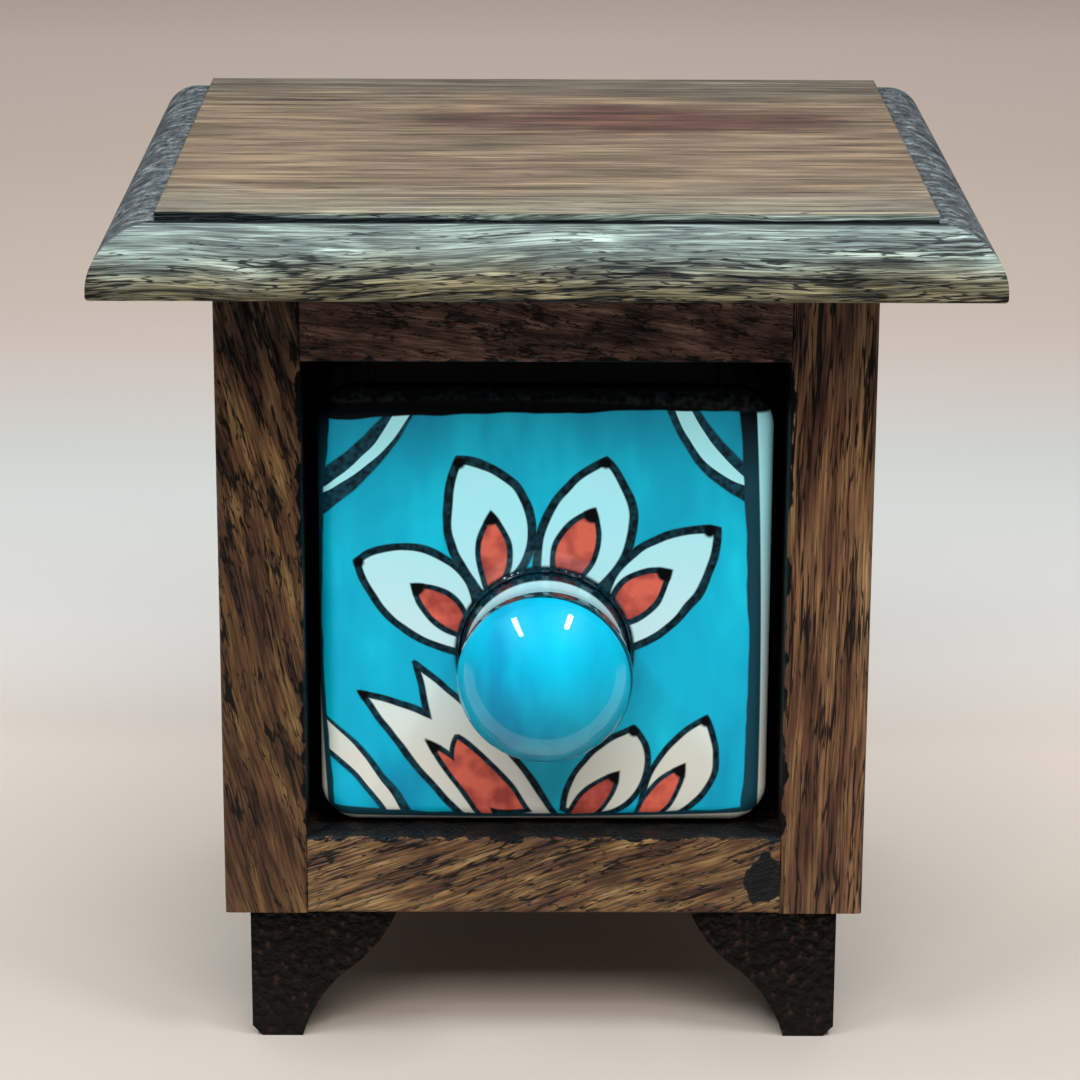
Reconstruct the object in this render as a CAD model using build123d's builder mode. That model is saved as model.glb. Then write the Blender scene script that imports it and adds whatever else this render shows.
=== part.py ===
from build123d import *
import os

# A one-drawer tabletop chest. A case of planks stands on four bracket feet under a moulded
# top board, and holds a drawer of glazed ceramic whose knob is part of the same casting.
# Millimetres. The origin is on the surface the chest stands on, under the middle of it.
# +X is to the right as seen from the front, +Y is to the back, +Z is up.

# The case, four planks round the bay that the drawer runs in
case_width = 100.0
case_depth = 94.0
side_thickness = 13.0
upper_board_thickness = 13.3
lower_board_thickness = 12.7
bay_height = 76.6
arris_radius = 0.6

# The back panel, let into rebates in the sides
panel_thickness = 5.0
rebate_width = 6.0
panel_side_clearance = 0.2

# The top board: an upright strip, a round and a ledge all round, and a raised field
top_overhang = 17.0
top_strip_height = 1.5
top_round_radius = 8.4
top_ledge_width = 1.0
top_step_height = 1.6
top_arris_radius = 0.7
field_arris_radius = 0.4

# The feet, each sawn from a plank to an ogee on its inner side
foot_height = 21.7
foot_thickness = 13.0
foot_side_inset = 3.8
foot_end_inset = 1.5
foot_shoulder_width = 23.2
foot_sole_width = 8.0
ogee_turn_width = 15.0
ogee_turn_height = 11.2
ogee_round_bulge = 1.0
ogee_cove_hollow = 1.0
foot_chamfer = 1.7

# The ceramic drawer, its clearances in the bay, and the walls of its tub
drawer_recess = 5.0
drawer_side_gap = 1.95
drawer_top_gap = 6.0
drawer_rest_gap = 0.3
drawer_back_gap = 0.5
face_thickness = 7.0
face_corner_radius = 6.0
face_edge_radius = 3.2
tub_rim_drop = 6.5
tub_wall = 5.0
tub_floor = 6.0
tub_inner_corner_radius = 3.5
tub_floor_radius = 3.0
tub_rim_radius = 1.2
tub_back_edge_radius = 2.5

# The knob, measured outwards from the drawer's face
knob_centre_above_face_foot = 28.7
knob_flare_radius = 13.3
knob_neck_radius = 12.2
knob_neck_distance = 5.2
knob_rim_radius = 13.2
knob_rim_bulge = 0.2
knob_rim_distance = 10.4
knob_rim_thickness = 3.5
knob_dome_depth = 7.5

# Brads stamped from strip, with a wide head and a chisel point, and countersunk screws
brad_wire_width = 1.3
brad_wire_depth = 1.0
brad_head_width = 2.2
brad_head_height = 0.7
brad_point_length = 1.5
side_brad_length = 25.0
side_brad_spacing = 56.0
panel_brad_length = 15.0
panel_brad_spacing = 24.0
foot_brad_length = 30.0
foot_brad_spacing = 3.6
punch_depth = 0.6
screw_length = 20.0
screw_radius = 1.5
screw_head_radius = 2.8
screw_head_height = 1.6
screw_spacing_across = 40.0
screw_spacing_deep = 50.0
pilot_clearance = 0.05

# Levels and faces that follow from the sizes above
case_bottom = foot_height
bay_floor = case_bottom + lower_board_thickness
bay_ceiling = bay_floor + bay_height
case_top = bay_ceiling + upper_board_thickness
case_height = case_top - case_bottom
case_side = case_width / 2
bay_side = case_side - side_thickness
rebate_side = bay_side + rebate_width
case_front = -case_depth / 2
case_back = case_depth / 2
panel_front = case_back - panel_thickness

face_front = case_front + drawer_recess
face_foot = bay_floor + drawer_rest_gap
face_top = bay_ceiling - drawer_top_gap
face_width = 2 * (bay_side - drawer_side_gap)
face_height = face_top - face_foot
tub_back = panel_front - drawer_back_gap
tub_top = face_top - tub_rim_drop
knob_height = face_foot + knob_centre_above_face_foot

os.makedirs("parts", exist_ok=True)


def keep(piece, node):
    """Labels a finished piece and writes it as a node of its own."""
    piece.part.label = node
    export_step(piece.part, f"parts/{node}.step")


def brad_set(seats, length):
    """Brads, one at each seat. A seat is a plane at the top of the head whose Z runs into the wood."""
    half_wire = brad_wire_width / 2
    half_head = brad_head_width / 2
    with BuildPart() as brads:
        for seat in seats:
            with BuildSketch(Plane(origin=seat.origin, x_dir=seat.x_dir, z_dir=-seat.y_dir)):
                with BuildLine():
                    Polyline(
                        (-half_head, 0),
                        (half_head, 0),
                        (half_head, brad_head_height),
                        (half_wire, brad_head_height),
                        (half_wire, length - brad_point_length),
                        (0, length),
                        (-half_wire, length - brad_point_length),
                        (-half_wire, brad_head_height),
                        (-half_head, brad_head_height),
                        close=True,
                    )
                make_face()
            extrude(amount=brad_wire_depth / 2, both=True)
    return brads


on_end = (Align.CENTER, Align.CENTER, Align.MIN)


def brad_holes(seats, length, sink=0):
    """Cuts the slot each brad is driven into, and the mark of the punch that sank its head."""
    slot_depth = brad_wire_depth + 2 * pilot_clearance
    for seat in seats:
        with Locations(seat):
            Box(
                brad_wire_width + 2 * pilot_clearance,
                slot_depth,
                length + pilot_clearance,
                align=on_end,
                mode=Mode.SUBTRACT,
            )
        with Locations(seat.offset(-sink)):
            Box(
                brad_head_width + 2 * pilot_clearance,
                slot_depth,
                sink + brad_head_height,
                align=on_end,
                mode=Mode.SUBTRACT,
            )


def screw_holes(seats):
    """Cuts the countersink each screw head lies flush in, and the hole its shank is driven into."""
    for seat in seats:
        with Locations(seat):
            Cone(
                screw_head_radius + pilot_clearance,
                screw_radius + pilot_clearance,
                screw_head_height,
                align=on_end,
                mode=Mode.SUBTRACT,
            )
            Cylinder(
                screw_radius + pilot_clearance,
                screw_length + pilot_clearance,
                align=on_end,
                mode=Mode.SUBTRACT,
            )


# Where the fasteners go
upper_board_middle = bay_ceiling + upper_board_thickness / 2
lower_board_middle = case_bottom + lower_board_thickness / 2
side_brad_seats = [
    Plane(
        origin=(side * (case_side - punch_depth), end * side_brad_spacing / 2, level),
        z_dir=(-side, 0, 0),
    )
    for side in (-1, 1)
    for end in (-1, 1)
    for level in (lower_board_middle, upper_board_middle)
]
panel_brad_points = [
    (place * panel_brad_spacing, level)
    for place in (-1, 0, 1)
    for level in (lower_board_middle, upper_board_middle)
]
panel_brad_points += [
    (side * (bay_side + rebate_width / 2), case_bottom + case_height / 2)
    for side in (-1, 1)
]
panel_brad_seats = [
    Plane(origin=(across, case_back, level), z_dir=(0, -1, 0))
    for across, level in panel_brad_points
]
sole_middle = case_side - foot_side_inset - (foot_sole_width + foot_chamfer) / 2
foot_middle = case_depth / 2 - foot_end_inset - foot_thickness / 2
foot_brad_seats = [
    Plane(
        origin=(side * (sole_middle + step * foot_brad_spacing / 2), end * foot_middle, punch_depth),
        z_dir=(0, 0, 1),
    )
    for side in (-1, 1)
    for end in (-1, 1)
    for step in (-1, 1)
]
screw_seats = [
    Plane(
        origin=(side * screw_spacing_across / 2, end * screw_spacing_deep / 2, bay_ceiling),
        z_dir=(0, 0, 1),
    )
    for side in (-1, 1)
    for end in (-1, 1)
]


def side_plank(side):
    """An upright plank. Its front edge shows as a stile, and its back edge is rebated for the panel."""
    outer = side * case_side
    inner = side * bay_side
    rebate = side * rebate_side
    with BuildPart() as plank:
        with BuildSketch(Plane.XY.offset(case_bottom)):
            with BuildLine():
                Polyline(
                    (outer, case_front),
                    (inner, case_front),
                    (inner, panel_front),
                    (rebate, panel_front),
                    (rebate, case_back),
                    (outer, case_back),
                    close=True,
                )
            make_face()
        extrude(amount=case_height)
        upright_edges = plank.edges().filter_by(Axis.Z)
        front_edges = upright_edges.group_by(Axis.Y)[0]
        back_edge = upright_edges.group_by(Axis.Y)[-1].sort_by(Axis.X)[0 if side < 0 else -1]
        fillet(front_edges + ShapeList([back_edge]), radius=arris_radius)
        brad_holes(side_brad_seats, side_brad_length, punch_depth)
        brad_holes(panel_brad_seats, panel_brad_length)
        brad_holes(foot_brad_seats, foot_brad_length, punch_depth)
    return plank


def cross_board(level, thickness):
    """A level plank between the sides, whose front edge shows as a rail."""
    with BuildPart() as board:
        with BuildSketch(Plane.XY.offset(level)):
            with BuildLine():
                Polyline(
                    (-bay_side, case_front),
                    (bay_side, case_front),
                    (bay_side, panel_front),
                    (-bay_side, panel_front),
                    close=True,
                )
            make_face()
        extrude(amount=thickness)
        fillet(board.edges().filter_by(Axis.X).group_by(Axis.Y)[0], radius=arris_radius)
        brad_holes(side_brad_seats, side_brad_length, punch_depth)
        brad_holes(panel_brad_seats, panel_brad_length)
        screw_holes(screw_seats)
    return board


def bracket_foot(side, end):
    """A foot with an upright outer edge and an ogee, a round over a cove, on its inner side."""
    outer = side * (case_side - foot_side_inset)
    shoulder = outer - side * foot_shoulder_width
    toe = outer - side * foot_sole_width
    turn = (outer - side * ogee_turn_width, ogee_turn_height)
    with BuildPart() as foot:
        with BuildSketch(Plane.XZ.offset(-end * foot_middle)):
            with BuildLine():
                Polyline((toe, 0), (outer, 0), (outer, foot_height), (shoulder, foot_height))
                SagittaArc((shoulder, foot_height), turn, -side * ogee_round_bulge)
                SagittaArc(turn, (toe, 0), side * ogee_cove_hollow)
            make_face()
        extrude(amount=foot_thickness / 2, both=True)
        deep_edges = foot.edges().filter_by(Axis.Y).group_by(Axis.Z)[0]
        chamfer(deep_edges.sort_by(Axis.X)[0 if side < 0 else -1], length=foot_chamfer)
        brad_holes(foot_brad_seats, foot_brad_length, punch_depth)
    return foot


# Sides, one mirrored to the other
left_side = side_plank(-1)
keep(left_side, "left_side")
right_side = side_plank(1)
keep(right_side, "right_side")

# Upper and lower boards of the case
carcass_top = cross_board(bay_ceiling, upper_board_thickness)
keep(carcass_top, "carcass_top")
carcass_bottom = cross_board(case_bottom, lower_board_thickness)
keep(carcass_bottom, "carcass_bottom")

# Back panel, flush with the planks' back edges
with BuildPart() as back_panel:
    with BuildSketch(Plane.XY.offset(case_bottom)):
        with BuildLine():
            Polyline(
                (-rebate_side + panel_side_clearance, panel_front),
                (rebate_side - panel_side_clearance, panel_front),
                (rebate_side - panel_side_clearance, case_back),
                (-rebate_side + panel_side_clearance, case_back),
                close=True,
            )
        make_face()
    extrude(amount=case_height)
    brad_holes(panel_brad_seats, panel_brad_length)
keep(back_panel, "back_panel")

# Top board. The round runs along all four edges and meets itself in mitres at the corners.
moulding_width = top_round_radius + top_ledge_width
moulding_height = top_strip_height + top_round_radius
with BuildPart() as top_board:
    with BuildSketch(Plane.XY.offset(case_top)):
        Rectangle(case_width + 2 * top_overhang, case_depth + 2 * top_overhang)
    extrude(amount=moulding_height)
    fillet(top_board.faces().sort_by(Axis.Z)[-1].edges(), radius=top_round_radius)
    fillet(top_board.faces().sort_by(Axis.Z)[0].edges(), radius=top_arris_radius)
    with BuildSketch(Plane.XY.offset(case_top + moulding_height)):
        Rectangle(
            case_width + 2 * (top_overhang - moulding_width),
            case_depth + 2 * (top_overhang - moulding_width),
        )
    extrude(amount=top_step_height)
    fillet(top_board.faces().sort_by(Axis.Z)[-1].edges(), radius=field_arris_radius)
    screw_holes(screw_seats)
keep(top_board, "top_board")

# Feet
foot_corners = {
    "front_left_foot": (-1, -1),
    "front_right_foot": (1, -1),
    "rear_left_foot": (-1, 1),
    "rear_right_foot": (1, 1),
}
for foot_name, (foot_side, foot_end) in foot_corners.items():
    keep(bracket_foot(foot_side, foot_end), foot_name)

# Ceramic drawer: a cushion-edged face, an open tub behind it, and the knob, all in one casting
face_back = face_front + face_thickness
tub_floor_level = face_foot + tub_floor
knob_rim = face_front - knob_rim_distance
dome_foot = knob_rim - knob_rim_thickness
knob_tip = dome_foot - knob_dome_depth
dome_radius = (knob_rim_radius**2 + knob_dome_depth**2) / (2 * knob_dome_depth)
with BuildPart() as ceramic_drawer:
    # The block of the drawer, as wide and as high as its face from front to back
    with BuildSketch(Plane.XZ.offset(-tub_back)):
        with Locations((0, face_foot + face_height / 2)):
            RectangleRounded(face_width, face_height, face_corner_radius)
    extrude(amount=tub_back - face_front)
    fillet(ceramic_drawer.faces().sort_by(Axis.Y)[0].edges(), radius=face_edge_radius)
    fillet(ceramic_drawer.faces().sort_by(Axis.Y)[-1].edges(), radius=tub_back_edge_radius)

    # Behind the face the walls are cut down to the rim
    with BuildSketch(Plane.XY.offset(tub_top)):
        with Locations((0, face_back)):
            Rectangle(face_width, tub_back - face_back, align=(Align.CENTER, Align.MIN))
    extrude(amount=tub_rim_drop, mode=Mode.SUBTRACT)

    # The hollow of the tub, rounded at its back corners, along its floor and round its rim
    with BuildSketch(Plane.XY.offset(tub_floor_level)) as hollow:
        with Locations((0, face_back)):
            Rectangle(
                face_width - 2 * tub_wall,
                tub_back - tub_wall - face_back,
                align=(Align.CENTER, Align.MIN),
            )
        fillet(hollow.vertices().group_by(Axis.Y)[-1], radius=tub_inner_corner_radius)
    extrude(amount=tub_top - tub_floor_level, mode=Mode.SUBTRACT)
    level_faces = ceramic_drawer.faces().filter_by(Axis.Z).group_by(Axis.Z)
    fillet(level_faces[1].edges(), radius=tub_floor_radius)
    rim_edges = ceramic_drawer.faces().filter_by(Axis.Z).group_by(Axis.Z)[-2].edges()
    fillet(rim_edges - rim_edges.group_by(Axis.Y)[0], radius=tub_rim_radius)

    # The knob: a waisted neck, flared where it meets the face, a soft rim, and a dome
    with BuildSketch(Plane.YZ):
        with BuildLine():
            Polyline(
                (knob_tip, knob_height),
                (face_back, knob_height),
                (face_back, knob_height + knob_flare_radius),
                (face_front, knob_height + knob_flare_radius),
            )
            ThreePointArc(
                (face_front, knob_height + knob_flare_radius),
                (face_front - knob_neck_distance, knob_height + knob_neck_radius),
                (knob_rim, knob_height + knob_rim_radius),
            )
            ThreePointArc(
                (knob_rim, knob_height + knob_rim_radius),
                ((knob_rim + dome_foot) / 2, knob_height + knob_rim_radius + knob_rim_bulge),
                (dome_foot, knob_height + knob_rim_radius),
            )
            RadiusArc((dome_foot, knob_height + knob_rim_radius), (knob_tip, knob_height), -dome_radius)
        make_face()
    revolve(axis=Axis((0, 0, knob_height), (0, 1, 0)))
keep(ceramic_drawer, "ceramic_drawer")

# Brads: through the sides into both boards' ends, up through the soles, and through the back panel
keep(brad_set(side_brad_seats, side_brad_length), "side_brads")
keep(brad_set(foot_brad_seats, foot_brad_length), "foot_brads")
keep(brad_set(panel_brad_seats, panel_brad_length), "panel_brads")

# Screws up from the bay into the top board
with BuildPart() as top_board_screws:
    with Locations(*screw_seats):
        Cone(screw_head_radius, screw_radius, screw_head_height, align=on_end)
        Cylinder(screw_radius, screw_length, align=on_end)
keep(top_board_screws, "top_board_screws")
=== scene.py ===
# %% [markdown]
# A small wooden chest with one drawer
#
# The chest is a mango-wood case with a moulded top on four black feet, and its drawer is one
# casting of white earthenware, painted by hand under a clear glaze. The CAD model brings every
# wooden piece in its true place and size, so this lesson only dresses those pieces, and builds
# anew the one piece whose smooth glaze needs a finer mesh than CAD gives: the drawer.

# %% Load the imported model
import math

import bpy
from mathutils import Matrix, Vector


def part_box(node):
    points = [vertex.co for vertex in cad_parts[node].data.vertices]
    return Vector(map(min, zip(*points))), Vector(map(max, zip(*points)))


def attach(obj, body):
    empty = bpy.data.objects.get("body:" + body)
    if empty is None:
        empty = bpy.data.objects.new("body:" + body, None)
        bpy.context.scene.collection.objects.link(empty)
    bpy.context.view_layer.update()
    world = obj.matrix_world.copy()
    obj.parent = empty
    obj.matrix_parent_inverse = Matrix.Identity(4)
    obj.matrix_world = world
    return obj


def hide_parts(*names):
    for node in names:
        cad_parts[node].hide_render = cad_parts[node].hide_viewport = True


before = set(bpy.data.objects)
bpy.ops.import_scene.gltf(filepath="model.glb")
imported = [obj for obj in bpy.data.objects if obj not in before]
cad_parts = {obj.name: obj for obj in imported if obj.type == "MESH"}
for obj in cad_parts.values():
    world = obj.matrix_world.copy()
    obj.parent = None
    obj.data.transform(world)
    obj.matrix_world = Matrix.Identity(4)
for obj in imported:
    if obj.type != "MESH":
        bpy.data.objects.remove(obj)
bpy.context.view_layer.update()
mm = 0.001
# Places that should meet are compared to within a hair.
hair = 0.01 * mm
print("nodes:", sorted(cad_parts))

# %% [markdown]
# Camera
#
# The photograph was taken from just in front of the chest and a little above it, with a long
# lens. Its place was worked out from the straight edges of the case, so it is written here as
# three turns and a place. Building the matrix from the camera's own three axes is surer than
# typing Euler angles, because each axis can be checked by itself.

# %% Place the camera
picture_width = 1080
focal_pixels = 3777.28
camera_place = Vector((-3.55, -597.4, 252.96)) * mm
camera_pitch = 0.2993
camera_yaw = -0.005
camera_roll = 0.004

level_right = Vector((math.cos(camera_yaw), math.sin(camera_yaw), 0))
level_ahead = Vector((-math.sin(camera_yaw), math.cos(camera_yaw), 0))
view_ahead = level_ahead * math.cos(camera_pitch) - Vector((0, 0, math.sin(camera_pitch)))
view_up = level_right.cross(view_ahead)
view_right = level_right * math.cos(camera_roll) + view_up * math.sin(camera_roll)
view_up = view_up * math.cos(camera_roll) - level_right * math.sin(camera_roll)

camera_data = bpy.data.cameras.new("chest_camera")
camera_data.sensor_width = 36
camera_data.lens = camera_data.sensor_width * focal_pixels / picture_width
camera_data.clip_start = 0.01
camera = bpy.data.objects.new("chest_camera", camera_data)
bpy.context.scene.collection.objects.link(camera)
camera.matrix_world = Matrix.Translation(camera_place) @ Matrix(
    (view_right, view_up, -view_ahead)).transposed().to_4x4()
bpy.context.scene.camera = camera
bpy.context.scene.view_settings.view_transform = "Standard"
print("lens:", round(camera_data.lens, 1), "mm")

# %% [markdown]
# Tools of the bench
#
# Everything is deselected before a new piece is started, because the loaded CAD pieces come in
# selected and an operator would act on them too. Faces, edges and corners are picked by where
# they are, which is the scripted way of clicking on them.

# %% Select and pick
def start_piece(name):
    """Names the primitive that was just added."""
    piece = bpy.context.object
    piece.name = name
    piece.data.name = name
    bpy.ops.object.transform_apply(location=True, rotation=True, scale=True)
    return piece


def deselect_all():
    """Leaves edit mode and lets go of every piece."""
    if bpy.context.object and bpy.context.object.mode == "EDIT":
        bpy.ops.object.mode_set(mode="OBJECT")
    bpy.ops.object.select_all(action="DESELECT")


def make_active(piece):
    """Selects one piece and nothing else, and makes it the one that operators work on."""
    deselect_all()
    piece.select_set(True)
    bpy.context.view_layer.objects.active = piece


def pick(piece, kind, wanted):
    """Selects the corners, edges or faces of piece for which wanted(place, element) is true."""
    bpy.ops.object.mode_set(mode="EDIT")
    bpy.ops.mesh.select_mode(type=kind)
    bpy.ops.mesh.select_all(action="DESELECT")
    bpy.ops.object.mode_set(mode="OBJECT")
    mesh = piece.data
    if kind == "VERT":
        for corner in mesh.vertices:
            corner.select = bool(wanted(corner.co, corner))
    elif kind == "EDGE":
        for edge in mesh.edges:
            ends = [mesh.vertices[i].co for i in edge.vertices]
            edge.select = bool(wanted((ends[0] + ends[1]) / 2, edge))
    else:
        for face in mesh.polygons:
            face.select = bool(wanted(face.center, face))
    bpy.ops.object.mode_set(mode="EDIT")


def edge_way(piece, edge):
    """The direction of an edge, from one end to the other."""
    first, last = (piece.data.vertices[i].co for i in edge.vertices)
    return (last - first).normalized()


def apply_modifier(piece, kind, **settings):
    """Adds a modifier with its settings and applies it at once, as the Apply button does."""
    modifier = piece.modifiers.new(kind.lower(), kind)
    for setting, value in settings.items():
        setattr(modifier, setting, value)
    make_active(piece)
    bpy.ops.object.modifier_apply(modifier=modifier.name)


# %% [markdown]
# The drawer's block
#
# The real drawer was slip-cast in one mould, so all its edges are soft: the face has round
# corners and a round-over all the way round it. It starts as a cube of the drawer's size. The
# four long edges are bevelled first, and then the front rim, in that order, because a round
# corner and a round edge only flow into each other when the corner is there first.

# %% Cast the block
drawer_low, drawer_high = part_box("ceramic_drawer")
face_half_width = drawer_high.x
face_foot = drawer_low.z
face_head = drawer_high.z
tub_back = drawer_high.y
face_front = -42.0 * mm
face_back = -35.0 * mm
face_corner_radius = 6.0 * mm
face_edge_radius = 3.2 * mm
tub_corner_radius = 2.5 * mm

deselect_all()
bpy.ops.mesh.primitive_cube_add(
    size=1,
    location=(0, (face_front + tub_back) / 2, (face_foot + face_head) / 2),
    scale=(2 * face_half_width, tub_back - face_front, face_head - face_foot))
drawer = start_piece("painted_drawer")

pick(drawer, "EDGE", lambda place, edge: abs(edge_way(drawer, edge).y) > 0.9)
bpy.ops.mesh.bevel(offset=face_corner_radius, segments=14, affect="EDGES")
pick(drawer, "EDGE", lambda place, edge: place.y < face_front + hair)
bpy.ops.mesh.bevel(offset=face_edge_radius, segments=10, affect="EDGES")
pick(drawer, "EDGE", lambda place, edge: place.y > tub_back - hair)
bpy.ops.mesh.bevel(offset=tub_corner_radius, segments=5, affect="EDGES")
bpy.ops.object.mode_set(mode="OBJECT")
print("block:", len(drawer.data.vertices), "corners")

# %% [markdown]
# The tub behind the face
#
# Behind its face the casting is a tub, lower than the face and open at the top. A potter would
# cut the rim with a wire and the mould would leave the hollow. Here two cutter blocks do both
# with the Boolean modifier, and a last bevel rounds the sharp edges that the cuts leave, as
# glaze always does.

# %% Cut the rim and the hollow
tub_rim = face_head - 6.5 * mm
tub_floor = face_foot + 6.0 * mm
tub_wall = 5.0 * mm
hollow_corner_radius = 3.5 * mm
hollow_floor_radius = 3.0 * mm
glaze_round = 0.9 * mm
above = 30.0 * mm


def cutter_block(name, low, high):
    """A plain block between two corners, which is only used to cut."""
    low, high = Vector(low), Vector(high)
    deselect_all()
    bpy.ops.mesh.primitive_cube_add(size=1, location=(low + high) / 2, scale=high - low)
    return start_piece(name)


def cut_with(piece, cutter):
    """Cuts a piece with a cutter, which is gone afterwards."""
    apply_modifier(piece, "BOOLEAN", operation="DIFFERENCE", object=cutter, solver="EXACT")
    bpy.data.objects.remove(cutter)


rim_cutter = cutter_block(
    "rim_cutter",
    (-face_half_width - tub_wall, face_back, tub_rim),
    (face_half_width + tub_wall, tub_back + tub_wall, face_head + above))
cut_with(drawer, rim_cutter)

# The hollow starts a tenth of a millimetre behind the rim's cut, because two cutters that share
# a plane leave slivers on it.
hollow_cutter = cutter_block(
    "hollow_cutter",
    (-face_half_width + tub_wall, face_back + 0.1 * mm, tub_floor),
    (face_half_width - tub_wall, tub_back - tub_wall, face_head + above))
pick(hollow_cutter, "EDGE",
     lambda place, edge: abs(edge_way(hollow_cutter, edge).z) > 0.9 and place.y > 0)
bpy.ops.mesh.bevel(offset=hollow_corner_radius, segments=6, affect="EDGES")
pick(hollow_cutter, "EDGE", lambda place, edge: place.z < tub_floor + hair)
bpy.ops.mesh.bevel(offset=hollow_floor_radius, segments=5, affect="EDGES")
bpy.ops.object.mode_set(mode="OBJECT")
cut_with(drawer, hollow_cutter)
# Glaze rounds the edges that stand out: both outlines of the rim, and the back of the face.
pick(drawer, "EDGE", lambda place, edge: (
    (abs(place.z - tub_rim) < hair and place.y > face_back + 0.5 * mm)
    or (abs(place.y - face_back) < hair and place.z > tub_rim + hair)))
bpy.ops.mesh.bevel(offset=glaze_round, segments=3, affect="EDGES")
bpy.ops.object.mode_set(mode="OBJECT")
print("tub cut:", len(drawer.data.vertices), "corners")

# %% [markdown]
# The knob
#
# The knob grows out of the face with the same glaze: a flared foot, a narrow neck, a thick soft
# rim and a dome. A potter throws such a shape, so a circle is drawn at its foot, and each step
# outwards pulls the ring out and makes it wider or narrower. The rings follow arcs, which are
# worked out here from the few radii that can be measured, and the last ring closes in one point.

# %% Throw the knob
knob_axis = face_foot + 28.7 * mm
foot_radius = 13.3 * mm
neck_radius = 12.2 * mm
rim_radius = 13.2 * mm
rim_bulge = 0.2 * mm
neck_distance = 5.2 * mm
rim_distance = 10.4 * mm
rim_thickness = 3.5 * mm
dome_distance = rim_distance + rim_thickness
dome_depth = 7.5 * mm
rim_round = 1.0 * mm
# The knob reaches a little into the face, so that the two overlap where they are joined.
knob_root = 0.3 * mm
knob_sides = 96
neck_steps = 16
rim_steps = 6
dome_steps = 40


def circle_through(first, middle, last):
    """The centre and radius of the circle through three points in a plane."""
    (ax, ay), (bx, by), (cx, cy) = first, middle, last
    a, b, c = ax * ax + ay * ay, bx * bx + by * by, cx * cx + cy * cy
    spread = 2 * (ax * (by - cy) + bx * (cy - ay) + cx * (ay - by))
    x = (a * (by - cy) + b * (cy - ay) + c * (ay - by)) / spread
    y = (a * (cx - bx) + b * (ax - cx) + c * (bx - ax)) / spread
    return (x, y), math.hypot(ax - x, ay - y)


def arc_rings(first, middle, last, count, bulging):
    """Distance from the face and radius along an arc, which bulges outwards or is hollow."""
    centre, radius = circle_through(first, middle, last)
    side = 1 if bulging else -1
    for step in range(count):
        distance = first[0] + (last[0] - first[0]) * step / count
        yield distance, centre[1] + side * math.sqrt(radius ** 2 - (distance - centre[0]) ** 2)


def dome_rings(count):
    """Distance from the face and radius up the dome, which is part of a sphere."""
    ball = (rim_radius ** 2 + dome_depth ** 2) / (2 * dome_depth)
    widest = math.asin(rim_radius / ball)
    for step in range(count):
        angle = widest * (1 - step / count)
        yield dome_distance + dome_depth - ball * (1 - math.cos(angle)), ball * math.sin(angle)


knob_rings = list(arc_rings(
    (0, foot_radius), (neck_distance, neck_radius), (rim_distance, rim_radius), neck_steps,
    False))
knob_rings += list(arc_rings(
    (rim_distance, rim_radius), (rim_distance + rim_thickness / 2, rim_radius + rim_bulge),
    (dome_distance, rim_radius), rim_steps, True))
knob_rings += list(dome_rings(dome_steps))
deselect_all()
bpy.ops.mesh.primitive_circle_add(
    vertices=knob_sides, radius=knob_rings[0][1],
    location=(0, face_front + knob_root, knob_axis), rotation=(math.pi / 2, 0, 0))
knob = start_piece("drawer_knob")
bpy.ops.object.mode_set(mode="EDIT")
bpy.ops.mesh.select_all(action="SELECT")
reached = -knob_root
width_now = knob_rings[0][1]
for distance, radius in knob_rings:
    bpy.ops.mesh.extrude_region_move(
        TRANSFORM_OT_translate={"value": (0, -(distance - reached), 0)})
    bpy.ops.transform.resize(
        value=(radius / width_now, 1, radius / width_now),
        center_override=(0, face_front - distance, knob_axis))
    reached = distance
    width_now = radius
bpy.ops.mesh.extrude_region_move(
    TRANSFORM_OT_translate={"value": (0, -(dome_distance + dome_depth - reached), 0)})
bpy.ops.mesh.merge(type="CENTER")
bpy.ops.mesh.select_all(action="SELECT")
bpy.ops.mesh.normals_make_consistent(inside=False)
pick(knob, "EDGE", lambda place, edge: (
    abs(place.y - face_front + dome_distance) < hair
    and abs(edge_way(knob, edge).y) < 0.01))
bpy.ops.mesh.bevel(offset=rim_round, segments=5, affect="EDGES")
bpy.ops.object.mode_set(mode="OBJECT")
knob_tip = min(corner.co.y for corner in knob.data.vertices)
print("knob:", len(knob.data.vertices), "corners, tip at", round(knob_tip / mm, 2))

# %% [markdown]
# One casting
#
# On the real drawer the knob and the face were cast together, so no seam shows and glaze has
# softened the ring where they meet. The Boolean modifier joins the two shells, a bevel rounds
# that ring, and weighted normals keep the flat faces flat while the rounds stay smooth.

# %% Fuse the knob with the face
pick(knob, "EDGE", lambda place, edge: place.y > face_front + knob_root - hair)
bpy.ops.mesh.fill()
bpy.ops.object.mode_set(mode="OBJECT")
apply_modifier(drawer, "BOOLEAN", operation="UNION", object=knob, solver="EXACT")
bpy.data.objects.remove(knob)
pick(drawer, "EDGE", lambda place, edge: (
    abs(place.y - face_front) < 2 * hair
    and abs(math.hypot(place.x, place.z - knob_axis) - foot_radius) < 0.5 * mm))
bpy.ops.mesh.bevel(offset=glaze_round, segments=5, affect="EDGES")
# The cuts leave flat faces with dozens of corners, such as the rim's, which is shaped like a U.
# They are split in triangles here, so that every program fills them in the same way.
pick(drawer, "FACE", lambda place, face: len(face.vertices) > 4)
bpy.ops.mesh.quads_convert_to_tris(quad_method="BEAUTY", ngon_method="BEAUTY")
bpy.ops.object.mode_set(mode="OBJECT")
make_active(drawer)
bpy.ops.object.shade_smooth_by_angle(angle=math.radians(45))
apply_modifier(drawer, "WEIGHTED_NORMAL", keep_sharp=True, weight=80)
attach(drawer, "drawer")
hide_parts("ceramic_drawer")
print("drawer:", len(drawer.data.polygons), "faces")

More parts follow.
